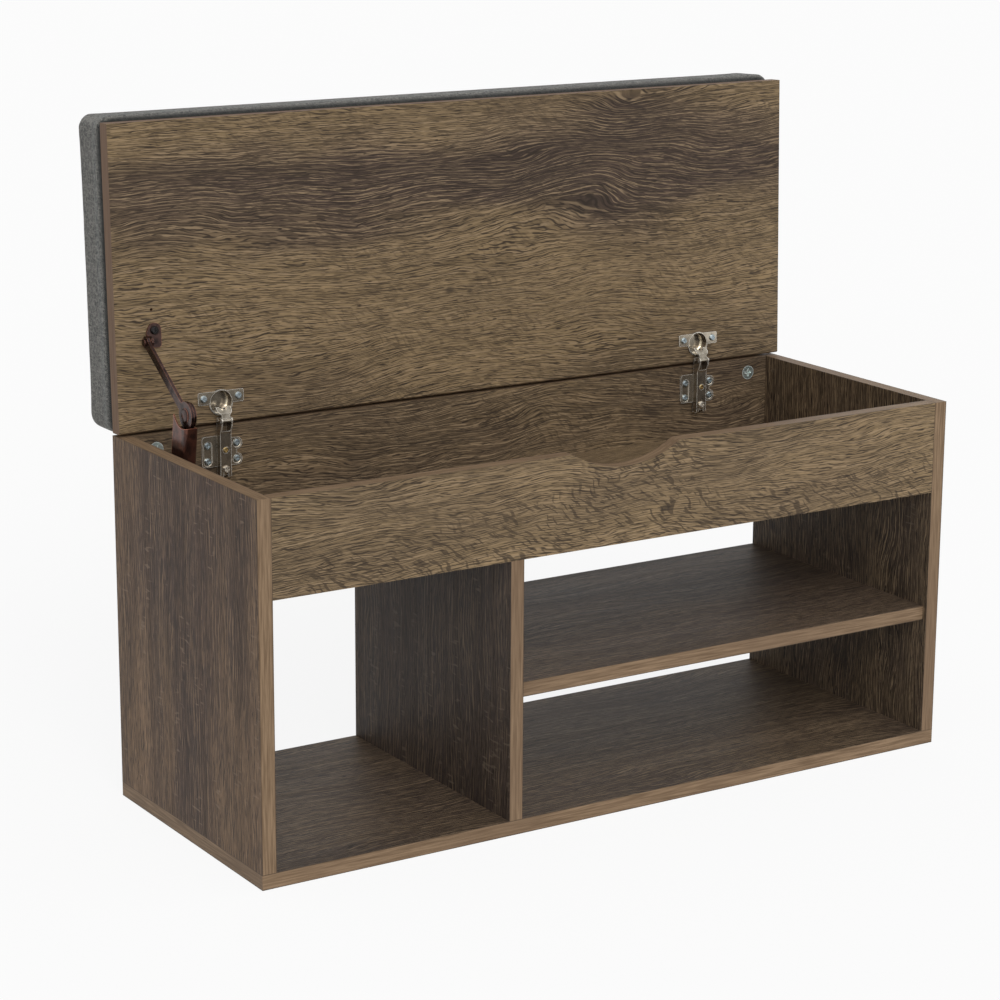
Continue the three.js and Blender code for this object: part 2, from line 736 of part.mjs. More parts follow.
function staySidePlate() {
  const shape = new THREE.Shape();
  shape.absarc(stayPivot.y, stayPivot.z, 10, Math.PI / 2, Math.PI * 1.5);
  for (const [y, z] of staySideScrewSpots) {
    const low = z < stayPivot.z;
    shape.absarc(y, z, 7.5, low ? -Math.PI / 2 : 0, low ? 0 : Math.PI / 2);
  }
  const plate = sideExtrusion(shape, -inside, -inside + 2);
  const bossEnd = stayArmX - housingHalfWidth - airGap;
  const boss = rod('x', 6, -inside + 1, bossEnd, [stayPivot.y, stayPivot.z], 20);
  const bore = rod('x', studRadius + airGap, -inside - 1, -inside + 20, [stayPivot.y, stayPivot.z], 18);
  const holes = staySideScrewSpots.map(([y, z]) => (
    rod('x', staySideScrew.shankRadius + airGap, -inside - 1, -inside + 3, [y, z], 14)
  ));
  piece('stay_side_plate', cut(join(plate, boss), bore, ...holes), bronze);
  staySideScrewSpots.forEach(([y, z], level) => {
    const geometry = screwGeometry(staySideScrew).rotateY(Math.PI / 2);
    geometry.translate(-inside + 2 + airGap, y, z);
    piece(`stay_side_screw_${level === 0 ? 'low' : 'high'}`, geometry, blackSteel);
  });
  const studEnd = stayArmX + housingHalfWidth + airGap;
  const stud = join(
    rod('x', studRadius, -inside + airGap, studEnd + 0.5, [stayPivot.y, stayPivot.z], 16),
    rod('x', 5, studEnd, studEnd + 1.8, [stayPivot.y, stayPivot.z], 20),
  );
  piece('stay_pivot_stud', stud, bronze);
}

// The housing, link and damper are drawn upright from the stay's pivot, then leaned forward.
function stayBody() {
  const body = new THREE.Group();
  body.position.set(stayArmX, stayPivot.y, stayPivot.z);
  body.rotation.x = Math.atan2(-stayReach.y, stayReach.z);
  bench.add(body);
  const reach = Math.hypot(stayReach.y, stayReach.z);

  const side = new THREE.Shape();
  side.moveTo(-housingFront, -12);
  side.lineTo(housingFront, -12);
  side.lineTo(housingFront, 80);
  side.quadraticCurveTo(2, 67, -housingFront, 74.5);
  const profile = sideExtrusion(side, -housingHalfWidth, housingHalfWidth);
  const sleeve = (wall, rear) => new THREE.ExtrudeGeometry(
    roundedRectangle(
      wall - housingHalfWidth,
      wall - housingFront,
      housingHalfWidth - wall,
      rear,
      housingCorner - wall,
    ),
    { depth: 110, bevelEnabled: false, curveSegments: 5 },
  ).translate(0, 0, -20);
  const shell = overlap(sleeve(0, housingFront + 8), profile);
  const hollow = sleeve(housingWall, housingFront + 12);
  const studHole = rod('x', studRadius + airGap, -10, 10, [0, 0], 18);
  piece('stay_housing', cut(shell, hollow, studHole), bronze, body);

  const linkLeft = stayPlate / 2 + airGap;
  const link = join(
    sideExtrusion(stadium(0, 0, 0, reach, 5.5), linkLeft, linkLeft + stayPlate),
    rod('x', elbowRadius - 1.5, linkLeft, linkLeft + stayPlate, [0, reach], 28),
  );
  const linkHoles = [rod('x', studRadius + airGap, 0, 9, [0, 0], 18), rod('x', 3.3, 0, 9, [0, reach], 18)];
  piece('stay_link', cut(link, ...linkHoles), bronze, body);

  const damper = join(
    rod('z', 3.2, 8, 38, [-2.3, -6], 18),
    rod('z', 1.4, 37, 48, [-2.3, -6], 12),
  );
  piece('stay_damper', damper, blackSteel, body);

  const rivetProfile = [
    [0, -stayPlate / 2 - 1.9],
    [5.5, -stayPlate / 2 - 1.5],
    [7.2, -stayPlate / 2 - airGap],
    [3, -stayPlate / 2 - airGap],
    [3, linkLeft + stayPlate + airGap],
    [5, linkLeft + stayPlate + airGap],
    [4.2, linkLeft + stayPlate + 1.3],
    [0, linkLeft + stayPlate + 1.5],
  ].map(([radius, height]) => new THREE.Vector2(radius, height));
  const rivet = new THREE.LatheGeometry(rivetProfile, 20).rotateZ(-Math.PI / 2).translate(0, 0, reach);
  piece('stay_elbow_rivet', toGeometry(solid(rivet)), bronze, body);
}

function bracketPin() {
  const along = bracketPinFromRear - axisFromRear;
  const off = -bracketPinDrop - axisAboveUnderside;
  return {
    y: axisY - along * Math.cos(openAngle) + off * Math.sin(openAngle),
    z: axisZ + along * Math.sin(openAngle) + off * Math.cos(openAngle),
  };
}

function stayArm() {
  const far = bracketPin();
  const fromX = stayArmX - stayPlate / 2;
  const toX = stayArmX + stayPlate / 2;
  const bar = join(
    sideExtrusion(stadium(stayElbow.y, stayElbow.z, far.y, far.z, 4.5), fromX, toX),
    rod('x', elbowRadius, fromX, toX, [stayElbow.y, stayElbow.z], 32),
    rod('x', stayEyeRadius, fromX, toX, [far.y, far.z], 20),
  );
  const holes = [
    rod('x', 3.3, fromX - 1, toX + 1, [stayElbow.y, stayElbow.z], 18),
    rod('x', bracketPinRadius + 0.4, fromX - 1, toX + 1, [far.y, far.z], 18),
  ];
  piece('stay_arm', cut(bar, ...holes), bronze);
}

// A bent plate on the lid: a foot under one screw, and a lug that carries the pin.
function stayLidBracket() {
  const [screwX, screwFromRear] = stayScrewSpot;
  const footTop = underside - airGap;
  const footLow = footTop - 1.8;
  const pinY = fromRear(bracketPinFromRear);
  const screwY = fromRear(screwFromRear);
  const footShape = roundedRectangle(lugLeft, screwY - 1, screwX + footRound, pinY + 7, 3);
  const foot = new THREE.ExtrudeGeometry(footShape, {
    depth: footTop - footLow,
    bevelEnabled: false,
    curveSegments: 4,
  }).translate(0, 0, footLow);
  const footEnd = rod('z', footRound, footLow, footTop, [screwX, screwY], 32);
  const pinZ = underside - bracketPinDrop;
  const lug = join(
    rod('x', 5.5, lugLeft, lugRight, [pinY, pinZ], 20),
    block([lugLeft, pinY - 5.5, pinZ], [lugRight, pinY + 5.5, footLow + 0.5]),
  );
  const pin = join(
    rod('x', bracketPinRadius, stayArmX - stayPlate / 2 - 1, lugRight, [pinY, pinZ], 14),
    rod('x', 3.6, stayArmX - stayPlate / 2 - 2, stayArmX - stayPlate / 2 - 0.5, [pinY, pinZ], 14),
  );
  const hole = rod(
    'z',
    stayLidScrew.shankRadius + airGap,
    footLow - 1,
    footTop + 1,
    [screwX, screwY],
    14,
  );
  piece('stay_lid_bracket', cut(join(foot, footEnd, lug, pin), hole), bronze, lid);
  const screw = screwGeometry(stayLidScrew).rotateX(Math.PI);
  screw.translate(screwX, screwY, footLow - airGap);
  piece('stay_lid_screw', screw, blackSteel, lid);
}

function lidStay() {
  staySidePlate();
  stayBody();
  stayArm();
  stayLidBracket();
}

carcass();
lidBoard();
cushion();
hinges();
lidStay();

export default bench;
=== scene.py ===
import json
import math

import bmesh
import bpy
from mathutils import Matrix, Vector


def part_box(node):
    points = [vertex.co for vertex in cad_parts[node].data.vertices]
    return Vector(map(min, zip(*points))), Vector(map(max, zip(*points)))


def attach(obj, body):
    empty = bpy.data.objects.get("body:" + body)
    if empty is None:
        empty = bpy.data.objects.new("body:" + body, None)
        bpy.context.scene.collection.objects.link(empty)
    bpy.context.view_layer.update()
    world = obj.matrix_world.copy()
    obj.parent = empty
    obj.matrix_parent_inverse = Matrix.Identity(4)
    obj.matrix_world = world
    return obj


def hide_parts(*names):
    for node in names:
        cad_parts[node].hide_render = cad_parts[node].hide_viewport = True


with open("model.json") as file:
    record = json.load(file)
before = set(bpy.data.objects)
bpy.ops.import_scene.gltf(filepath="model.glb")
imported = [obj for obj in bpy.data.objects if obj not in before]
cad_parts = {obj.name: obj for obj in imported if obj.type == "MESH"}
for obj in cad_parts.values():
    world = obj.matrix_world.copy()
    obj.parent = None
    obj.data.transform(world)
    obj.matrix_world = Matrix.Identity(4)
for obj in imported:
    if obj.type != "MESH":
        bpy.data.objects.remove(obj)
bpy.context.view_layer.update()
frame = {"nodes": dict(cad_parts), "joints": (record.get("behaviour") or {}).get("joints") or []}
nodes = frame["nodes"]
scene = bpy.context.scene
millimetre = 0.001
print("frame loaded")

cameraPlace = {
    "location": (-1.5430, -2.3542, 0.9992),
    "yaw": -32.40,
    "pitch": 14.24,
    "roll": 0.29,
    "lens": 103.68,
    "sensor": 36,
    "clip": (0.05, 60),
}
cameraData = bpy.data.cameras.new("camera")
cameraData.lens = cameraPlace["lens"]
cameraData.sensor_width = cameraPlace["sensor"]
cameraData.clip_start, cameraData.clip_end = cameraPlace["clip"]
camera = bpy.data.objects.new("camera", cameraData)
scene.collection.objects.link(camera)
turn = Matrix.Rotation(math.radians(cameraPlace["yaw"]), 4, "Z")
tip = Matrix.Rotation(math.radians(90 - cameraPlace["pitch"]), 4, "X")
lean = Matrix.Rotation(math.radians(cameraPlace["roll"]), 4, "Z")
camera.matrix_world = Matrix.Translation(cameraPlace["location"]) @ turn @ tip @ lean
scene.camera = camera


# Makes and joins nodes in one node tree, and lays them out in a row.
class Wiring:
    def __init__(self, tree):
        self.tree = tree
        self.column = 0

    def node(self, kind, **settings):
        made = self.tree.nodes.new(kind)
        made.location = (self.column, 0)
        self.column += 190
        for key, value in settings.items():
            setattr(made, key, value)
        return made

    def feed(self, socket, value):
        if isinstance(value, bpy.types.NodeSocket):
            self.tree.links.new(value, socket)
        elif value is not None:
            socket.default_value = value

    def math(self, operation, first, second=None, third=None):
        made = self.node("ShaderNodeMath", operation=operation)
        for socket, value in zip(made.inputs, (first, second, third)):
            self.feed(socket, value)
        return made.outputs[0]

    def vector(self, operation, first, second=None):
        made = self.node("ShaderNodeVectorMath", operation=operation)
        self.feed(made.inputs[0], first)
        self.feed(made.inputs[1], second)
        return made.outputs["Value" if operation in ("LENGTH", "DOT_PRODUCT") else "Vector"]

    def split(self, vector):
        made = self.node("ShaderNodeSeparateXYZ")
        self.feed(made.inputs[0], vector)
        return made.outputs

    def combine(self, x, y, z):
        made = self.node("ShaderNodeCombineXYZ")
        for socket, value in zip(made.inputs, (x, y, z)):
            self.feed(socket, value)
        return made.outputs[0]

    def noise(self, vector, scale=1.0, detail=2.0, roughness=0.5):
        made = self.node("ShaderNodeTexNoise")
        self.feed(made.inputs["Vector"], vector)
        made.inputs["Scale"].default_value = scale
        made.inputs["Detail"].default_value = detail
        made.inputs["Roughness"].default_value = roughness
        return made.outputs["Fac"]

    def step(self, value, low, high, outLow=0.0, outHigh=1.0):
        made = self.node("ShaderNodeMapRange", interpolation_type="SMOOTHSTEP")
        self.feed(made.inputs["Value"], value)
        self.feed(made.inputs["From Min"], low)
        self.feed(made.inputs["From Max"], high)
        self.feed(made.inputs["To Min"], outLow)
        self.feed(made.inputs["To Max"], outHigh)
        return made.outputs["Result"]

    # A mix node keeps its number sockets at 0, 2 and 3, and its colour sockets at 6 and 7.
    def mix(self, factor, first, second, blend="MIX"):
        made = self.node("ShaderNodeMix", data_type="RGBA", blend_type=blend)
        self.feed(made.inputs[0], factor)
        self.feed(made.inputs[6], first)
        self.feed(made.inputs[7], second)
        return made.outputs[2]

    def between(self, factor, first, second):
        made = self.node("ShaderNodeMix", data_type="FLOAT")
        self.feed(made.inputs[0], factor)
        self.feed(made.inputs[2], first)
        self.feed(made.inputs[3], second)
        return made.outputs[0]

    def bump(self, height, distance, strength):
        made = self.node("ShaderNodeBump")
        self.feed(made.inputs["Height"], height)
        made.inputs["Distance"].default_value = distance
        made.inputs["Strength"].default_value = strength
        return made.outputs["Normal"]

    def group(self, tree, **values):
        made = self.node("ShaderNodeGroup")
        made.node_tree = tree
        for name, value in values.items():
            self.feed(made.inputs[name], value)
        return made.outputs


def makeGroup(name, inputs, outputs):
    tree = bpy.data.node_groups.new(name, "ShaderNodeTree")
    for label, kind in inputs:
        tree.interface.new_socket(label, in_out="INPUT", socket_type="NodeSocket" + kind)
    for label, kind in outputs:
        tree.interface.new_socket(label, in_out="OUTPUT", socket_type="NodeSocket" + kind)
    wiring = Wiring(tree)
    source = wiring.node("NodeGroupInput").outputs
    sink = wiring.node("NodeGroupOutput").inputs
    return wiring, source, sink


def makeMaterial(name):
    material = bpy.data.materials.new(name)
    material.use_nodes = True
    tree = material.node_tree
    tree.nodes.clear()
    wiring = Wiring(tree)
    shader = wiring.node("ShaderNodeBsdfPrincipled")
    output = wiring.node("ShaderNodeOutputMaterial")
    tree.links.new(shader.outputs[0], output.inputs[0])
    return material, wiring, shader.inputs


def dress(node, material):
    node.data.materials.clear()
    node.data.materials.append(material)


def bevel(node, name, width, angle):
    made = node.modifiers.new(name, "BEVEL")
    made.width = width
    made.segments = 2
    made.limit_method = "ANGLE"
    made.angle_limit = math.radians(angle)
    return made


# Oak laminate on the faces of the boards, and a paler band on their edges.
oakLook = {
    "sapwood": (0.202, 0.141, 0.0755, 1.0),
    "heartwood": (0.058, 0.039, 0.029, 1.0),
    "dullSapwood": (0.128, 0.088, 0.070, 1.0),
    "dullHeartwood": (0.056, 0.040, 0.034, 1.0),
    "palePore": (0.300, 0.215, 0.130, 1.0),
    "darkPore": (0.026, 0.018, 0.013, 1.0),
    "flake": (0.036, 0.025, 0.017, 1.0),
    "tick": (0.260, 0.205, 0.150, 1.0),
    "knot": (0.035, 0.025, 0.018, 1.0),
    "specular": 0.16,
    "bumpDepth": 0.12 * millimetre,
    "bumpStrength": 0.8,
    "edgeRound": 0.7 * millimetre,
    "edgeAngle": 50,
}
bandLook = {
    "dark": (0.140, 0.090, 0.052, 1.0),
    "pale": (0.265, 0.180, 0.110, 1.0),
    "blotch": (0.150, 0.096, 0.060, 1.0),
    "shaded": (0.110, 0.052, 0.027, 1.0),
    "joint": (0.040, 0.028, 0.020, 1.0),
    "jointWidth": (0.25 * millimetre, 1.0 * millimetre),
    "roughness": 0.5,
}


# Grain holds the place along the grain, the place across it, and a number that differs by board.
def makeOak(look):
    oak, given, result = makeGroup(
        "oakLaminate",
        [
            ("Grain", "Vector"),
            ("Heart", "Float"),
            ("Flakes", "Float"),
            ("Ticks", "Float"),
            ("Swirl", "Float"),
            ("Dull", "Float"),
            ("Pores", "Float"),
        ],
        [("Color", "Color"), ("Height", "Float"), ("Roughness", "Float")],
    )
    along, across, board = oak.split(given["Grain"])

    def stretched(alongScale, crossing, acrossScale, shift):
        return oak.combine(
            oak.math("MULTIPLY", along, alongScale),
            oak.math("MULTIPLY", crossing, acrossScale),
            oak.math("ADD", board, shift),
        )

    def tilted(degrees, alongScale, acrossScale, shift, warp):
        angle = math.radians(degrees)
        first = oak.math("MULTIPLY", along, math.cos(angle))
        run = oak.math("MULTIPLY_ADD", across, math.sin(angle), first)
        second = oak.math("MULTIPLY_ADD", along, -math.sin(angle), warp)
        rise = oak.math("MULTIPLY_ADD", across, math.cos(angle), second)
        return oak.combine(
            oak.math("MULTIPLY", run, alongScale),
            oak.math("MULTIPLY", rise, acrossScale),
            oak.math("ADD", board, shift),
        )

    slow = oak.noise(stretched(4.2, across, 11.0, 0.0), detail=1.5)
    quick = oak.noise(stretched(12.0, across, 34.0, 7.3), detail=2)
    slowBend = oak.math("MULTIPLY", oak.math("SUBTRACT", slow, 0.5), given["Swirl"])
    quickBend = oak.math("MULTIPLY", oak.math("SUBTRACT", quick, 0.5), 0.009)
    bent = oak.math("ADD", across, oak.math("ADD", slowBend, quickBend))
    rings = oak.noise(stretched(1.6, bent, 125.0, 3.1), detail=1.5)
    fibres = oak.noise(stretched(22.0, bent, 780.0, 5.7), detail=2, roughness=0.65)

    # Wavy lines along the grain: each is broken where a slower noise is under the gate.
    def lines(perMetre, wobble, wobbleAlong, shift, low, high, gateAlong, gate):
        waver = oak.noise(stretched(wobbleAlong, bent, perMetre * 0.3, shift), detail=2)
        sideways = oak.math("MULTIPLY", waver, wobble)
        phase = oak.math("MULTIPLY_ADD", bent, perMetre * 2 * math.pi, sideways)
        ridge = oak.step(oak.math("SINE", phase), low, high)
        breaks = oak.noise(stretched(gateAlong, bent, perMetre * 0.9, shift + 3.3), detail=1)
        return oak.math("MULTIPLY", ridge, oak.step(breaks, gate, gate + 0.12))

    inRing = oak.step(rings, 0.40, 0.58)
    paleLines = oak.math(
        "MAXIMUM",
        lines(
            perMetre=235.0, wobble=14.0, wobbleAlong=10.0, shift=13.0,
            low=0.45, high=1.0, gateAlong=19.0, gate=0.38,
        ),
        lines(
            perMetre=430.0, wobble=18.0, wobbleAlong=18.0, shift=17.0,
            low=0.35, high=1.0, gateAlong=50.0, gate=0.43,
        ),
    )
    palePores = oak.math("MULTIPLY", paleLines, oak.between(inRing, 0.55, 1.0))
    palePores = oak.math("MULTIPLY", palePores, given["Pores"])
    palePores = oak.math("MULTIPLY", palePores, oak.between(given["Dull"], 1.0, 0.35))
    darkLines = oak.math(
        "MAXIMUM",
        lines(
            perMetre=370.0, wobble=20.0, wobbleAlong=26.0, shift=19.4,
            low=0.35, high=0.98, gateAlong=50.0, gate=0.44,
        ),
        lines(
            perMetre=620.0, wobble=20.0, wobbleAlong=30.0, shift=27.0,
            low=0.20, high=0.95, gateAlong=74.0, gate=0.41,
        ),
    )
    darkPores = oak.math("MULTIPLY", darkLines, given["Pores"])
    patches = oak.step(oak.noise(stretched(3.4, across, 14.0, 23.0), detail=3), 0.36, 0.68)

    # The rays of the wood show as short strokes that lean across the grain.
    flakeZone = oak.step(oak.noise(stretched(7.0, across, 18.0, 41.0), detail=1), 0.40, 0.60)
    curl = oak.math("MULTIPLY", oak.math("SUBTRACT", quick, 0.5), 0.030)
    strokes = oak.noise(tilted(-34.0, 85.0, 400.0, 31.0, curl), detail=0.5)
    flakes = oak.math("MULTIPLY", oak.step(strokes, 0.54, 0.66), flakeZone)
    flakes = oak.math("MULTIPLY", flakes, given["Flakes"])
    tickZone = oak.step(oak.noise(stretched(8.0, across, 30.0, 53.0), detail=1), 0.52, 0.66)
    tickMarks = oak.noise(stretched(300.0, across, 70.0, 47.0), detail=0.5)
    ticks = oak.math("MULTIPLY", oak.step(tickMarks, 0.62, 0.74), tickZone)
    ticks = oak.math("MULTIPLY", ticks, given["Ticks"])

    wander = oak.step(oak.math("MULTIPLY_ADD", quick, 0.35, slow), 0.45, 0.90, -0.16, 0.16)
    heart = oak.step(oak.math("ADD", given["Heart"], wander), 0.0, 0.92)
    tone = oak.mix(heart, look["sapwood"], look["heartwood"])
    tone = oak.mix(given["Dull"], tone, oak.mix(heart, look["dullSapwood"], look["dullHeartwood"]))
    brightness = oak.step(rings, 0.30, 0.70, 0.90, 1.08)
    brightness = oak.math("MULTIPLY", brightness, oak.step(fibres, 0.34, 0.66, 0.70, 1.30))
    brightness = oak.math("MULTIPLY", brightness, oak.between(patches, 1.12, 0.86))
    tone = oak.mix(1.0, tone, oak.combine(brightness, brightness, brightness), "MULTIPLY")
    for marks, strength, colour in (
        (palePores, 0.60, look["palePore"]),
        (darkPores, 0.72, look["darkPore"]),
        (flakes, 0.68, look["flake"]),
        (ticks, 0.45, look["tick"]),
    ):
        tone = oak.mix(oak.math("MULTIPLY", marks, strength), tone, colour)
    oak.feed(result["Color"], tone)
    pits = oak.math("MAXIMUM", darkPores, flakes)
    oak.feed(result["Height"], oak.math("SUBTRACT", fibres, oak.math("MULTIPLY", pits, 0.8)))
    oak.feed(result["Roughness"], oak.between(rings, 0.60, 0.46))
    return oak.tree


# A broad soft patch, 1 in its middle and 0 far from it.
def makeStain():
    stain, given, result = makeGroup(
        "stain",
        [("Grain", "Vector"), ("Place", "Vector"), ("Reach", "Vector")],
        [("Amount", "Float")],
    )
    away = stain.vector("DIVIDE", stain.vector("SUBTRACT", given["Grain"], given["Place"]), given["Reach"])
    ripple = stain.noise(stain.vector("MULTIPLY", given["Grain"], (6.0, 20.0, 1.0)), detail=2)
    away = stain.vector("ADD", away, stain.combine(0.0, stain.between(ripple, -0.8, 0.8), 0.0))
    nearness = stain.math("MULTIPLY", stain.vector("DOT_PRODUCT", away, away), -1.0)
    stain.feed(result["Amount"], stain.math("EXPONENT", nearness))
    return stain.tree


# A soft round spot, flattened along the grain.
def makeKnot():
    knot, given, result = makeGroup(
        "knot",
        [("Grain", "Vector"), ("Place", "Vector"), ("Radius", "Float")],
        [("Spot", "Float")],
    )
    offset = knot.vector("SUBTRACT", given["Grain"], given["Place"])
    wander = knot.noise(given["Grain"], scale=70.0, detail=2)
    offsetAlong, offsetAcross, _ = knot.split(offset)
    flat = knot.combine(offsetAlong, knot.math("MULTIPLY", offsetAcross, 1.7), 0.0)
    distance = knot.math("DIVIDE", knot.vector("LENGTH", flat), given["Radius"])
    distance = knot.math("ADD", distance, knot.between(wander, -0.7, 0.7))
    knot.feed(result["Spot"], knot.step(distance, 0.25, 1.3, 1.0, 0.0))
    return knot.tree


# The band on the boards' edges: paler, with a short straight grain.
def makeBand(look):
    band, given, result = makeGroup(
        "edgeBand",
        [("Grain", "Vector"), ("Joint", "Float"), ("Shade", "Float")],
        [("Color", "Color"), ("Height", "Float")],
    )
    along, across, board = band.split(given["Grain"])
    streakPlace = band.combine(
        band.math("MULTIPLY", along, 24.0),
        band.math("MULTIPLY", across, 620.0),
        board,
    )
    streaks = band.noise(streakPlace, detail=3, roughness=0.6)
    blotches = band.noise(band.combine(band.math("MULTIPLY", along, 5.0), across, board), detail=2)
    streaks = band.step(streaks, 0.3, 0.7)
    tone = band.mix(streaks, look["dark"], look["pale"])
    tone = band.mix(band.step(blotches, 0.40, 0.70, 0.0, 0.45), tone, look["blotch"])
    tone = band.mix(given["Shade"], tone, look["shaded"])
    tone = band.mix(band.math("MULTIPLY", given["Joint"], 0.75), tone, look["joint"])
    band.feed(result["Color"], tone)
    band.feed(result["Height"], band.math("SUBTRACT", streaks, given["Joint"]))
    return band.tree


oakGroup = makeOak(oakLook)
stainGroup = makeStain()
knotGroup = makeKnot()
bandGroup = makeBand(bandLook)
print("oak nodes made")

# Axes are 0, 1 and 2 for X, Y and Z.
# Stains and curls: place along the grain and across it, reach along and across, strength.
# Knots: place along the grain and across it, radius.
# Places are fractions of the board, and reaches and radii are in metres.
boards = {
    "base_panel": {
        "grain": 0, "thick": 2, "seed": 1.7,
        "heart": 0.62, "flakes": 0.2, "ticks": 0.3, "swirl": 0.05, "dull": 0.32, "pores": 1.4,
    },
    "left_side_panel": {
        "grain": 2, "thick": 0, "seed": 4.1,
        "heart": 0.48, "flakes": 0.1, "ticks": 0.9, "swirl": 0.03, "dull": 0.30, "pores": 1.3,
        "tint": (1.06, 0.96, 0.93, 1.0),
        "stains": [
            (0.5, 0.46, 0.70, 0.042, 0.75),
            (0.92, 0.46, 0.14, 0.12, 0.55),
            (0.15, 0.50, 0.20, 0.20, -0.20),
            (0.4, 0.72, 0.30, 0.020, 0.25),
        ],
    },
    "right_side_panel": {
        "grain": 2, "thick": 0, "seed": 8.9,
        "heart": 0.60, "flakes": 0.35, "ticks": 0.5, "swirl": 0.05, "dull": 0.2, "pores": 1.7,
    },
    "divider_panel": {
        "grain": 2, "thick": 0, "seed": 12.3,
        "heart": 0.84, "flakes": 0.1, "ticks": 0.7, "swirl": 0.03, "dull": 0.72, "pores": 1.5,
    },
    "shelf_panel": {
        "grain": 0, "thick": 2, "seed": 15.2,
        "heart": 0.60, "flakes": 0.1, "ticks": 0.3, "swirl": 0.05, "dull": 0.6, "pores": 1.4,
    },
    "box_floor_panel": {
        "grain": 0, "thick": 2, "seed": 18.6,
        "heart": 0.35, "flakes": 0.4, "ticks": 0.0, "swirl": 0.05, "dull": 0.1, "pores": 1.0,
    },
    "front_apron_panel": {
        "grain": 0, "thick": 1, "seed": 22.4,
        "heart": 0.18, "flakes": 1.0, "ticks": 0.0, "swirl": 0.05, "dull": 0.05, "pores": 1.2,
        "knots": [(0.56, 0.30, 0.006)],
    },
    "back_rail_panel": {
        "grain": 0, "thick": 1, "seed": 25.8,
        "heart": 0.50, "flakes": 0.6, "ticks": 0.0, "swirl": 0.08, "dull": 0.0, "pores": 1.2,
        "knots": [(0.10, 0.55, 0.014), (0.80, 0.5, 0.010)],
    },
    "lid_board": {
        "grain": 0, "thick": 1, "seed": 31.5,
        "heart": -0.06, "flakes": 0.45, "ticks": 0.0, "swirl": 0.045, "dull": 0.0, "pores": 1.25,
        "bandShade": 0.55,
        "stains": [
            (0.42, 0.735, 0.95, 0.048, 1.06),
            (0.72, 0.86, 0.12, 0.070, 0.60),
            (0.74, 0.55, 0.07, 0.035, 0.40),
            (0.55, 0.04, 0.60, 0.035, 0.38),
        ],
        "curls": [(0.70, 0.84, 0.11, 0.080, 0.095), (0.16, 0.62, 0.08, 0.03, 0.05)],
        "knots": [(0.47, 0.36, 0.006), (0.50, 0.35, 0.004), (0.955, 0.31, 0.005)],
    },
}


def dressBoard(name, look):
    low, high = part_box(name)
    material, wiring, shader = makeMaterial("oak_" + name)
    coordinates = wiring.node("ShaderNodeTexCoord").outputs
    place = wiring.split(coordinates["Object"])
    normal = wiring.split(wiring.vector("ABSOLUTE", coordinates["Normal"]))
    grain, thick, seed = look["grain"], look["thick"], look["seed"]
    cross = 3 - grain - thick
    faceGrain = wiring.combine(place[grain], place[cross], seed)

    def at(alongShare, acrossShare):
        spotAlong = low[grain] + alongShare * (high[grain] - low[grain])
        return spotAlong, low[cross] + acrossShare * (high[cross] - low[cross]), seed

    def patched(value, patches):
        for alongShare, acrossShare, alongReach, acrossReach, strength in patches:
            amount = wiring.group(
                stainGroup,
                Grain=faceGrain,
                Place=at(alongShare, acrossShare),
                Reach=(alongReach, acrossReach, 1.0),
            )["Amount"]
            value = wiring.math("MULTIPLY_ADD", amount, strength, value)
        return value

    heart = patched(look["heart"], look.get("stains", []))
    swirl = patched(look["swirl"], look.get("curls", []))
    face = wiring.group(
        oakGroup,
        Grain=faceGrain,
        Heart=heart,
        Flakes=look["flakes"],
        Ticks=look["ticks"],
        Swirl=swirl,
        Dull=look["dull"],
        Pores=look["pores"],
    )
    colour = face["Color"]
    if "tint" in look:
        colour = wiring.mix(1.0, colour, look["tint"], "MULTIPLY")
    for alongShare, acrossShare, radius in look.get("knots", []):
        spot = wiring.group(
            knotGroup,
            Grain=faceGrain,
            Place=at(alongShare, acrossShare),
            Radius=radius,
        )["Spot"]
        colour = wiring.mix(wiring.math("MULTIPLY", spot, 0.7), colour, oakLook["knot"])
    # On an edge the band runs along whichever of the two long directions the edge has.
    runsAcross = wiring.step(normal[grain], 0.4, 0.6)
    run = wiring.between(runsAcross, place[grain], place[cross])
    toLow = wiring.math("SUBTRACT", place[thick], low[thick])
    toHigh = wiring.math("SUBTRACT", high[thick], place[thick])
    toFace = wiring.math("MINIMUM", toLow, toHigh)
    jointNear, jointFar = bandLook["jointWidth"]
    joint = wiring.step(toFace, jointNear, jointFar, 1.0, 0.0)
    edge = wiring.group(
        bandGroup,
        Grain=wiring.combine(run, place[thick], seed),
        Joint=joint,
        Shade=look.get("bandShade", 0.0),
    )
    onFace = wiring.step(normal[thick], 0.55, 0.85)
    colour = wiring.mix(onFace, edge["Color"], colour)
    height = wiring.between(onFace, edge["Height"], face["Height"])
    wiring.feed(shader["Base Color"], colour)
    shader["Specular IOR Level"].default_value = oakLook["specular"]
    wiring.feed(shader["Roughness"], wiring.between(onFace, bandLook["roughness"], face["Roughness"]))
    wiring.feed(shader["Normal"], wiring.bump(height, oakLook["bumpDepth"], oakLook["bumpStrength"]))
    board = nodes[name]
    dress(board, material)
    bevel(board, "rounded", oakLook["edgeRound"], oakLook["edgeAngle"]).harden_normals = True
    board.data.polygons.foreach_set("use_smooth", [False] * len(board.data.polygons))


for boardName, boardLook in boards.items():
    dressBoard(boardName, boardLook)
print("boards dressed")

